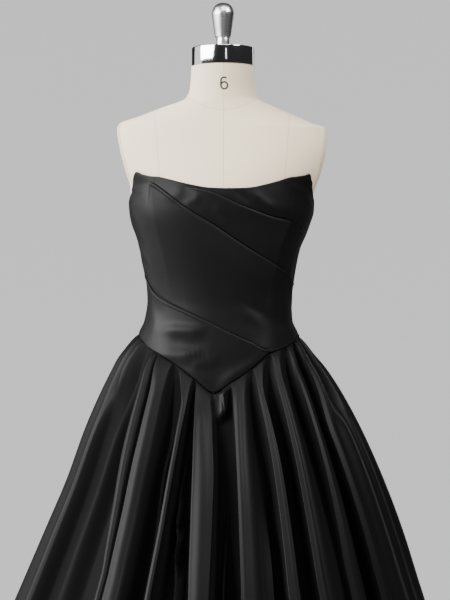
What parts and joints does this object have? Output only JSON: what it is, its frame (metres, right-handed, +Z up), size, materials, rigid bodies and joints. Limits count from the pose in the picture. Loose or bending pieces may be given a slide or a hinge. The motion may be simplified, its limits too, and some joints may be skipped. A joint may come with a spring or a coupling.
{
  "type": "wedding dress on a limbless dress form",
  "caption": "Strapless satin ball gown with a tucked bodice, V waist and knife pleated skirt, worn by a linen dress form on a round foot.",
  "frame": {"origin": "on the floor under the stand, on the middle line of the form", "axes": "+Z up; the front of the dress faces -Y and the centre back zip faces +Y; +X is to the right of a viewer in front"},
  "size_m": [1.1131, 1.104, 1.6346],
  "materials": {
    "satin": "black duchess satin, soft sheen",
    "linen": "natural linen, plain weave, matt",
    "chrome": "polished",
    "knob_metal": "satin turned",
    "stand_paint": "black satin paint",
    "zip_metal": "black enamel"
  },
  "bodies": {
    "gown_and_form": {"bodice_front": "satin", "bodice_back_left": "satin", "bodice_back_right": "satin", "skirt_front": "satin", "skirt_side_left": "satin", "skirt_side_right": "satin", "skirt_back_left": "satin", "skirt_back_right": "satin", "zip_slider": "zip_metal", "form_body": "linen", "neck_cap": "chrome", "neck_knob": "knob_metal", "stand_pole": "chrome", "stand_base": "stand_paint"},
    "zip_pull": {"zip_pull": "zip_metal"}
  },
  "joints": [
    {"name": "zip_pull_swing", "type": "hinge", "parent": "gown_and_form", "child": "zip_pull", "pos_m": [0, 0.10372, 1.24272], "axis": [1, 0, 0], "range_deg": [0, 150]}
  ]
}
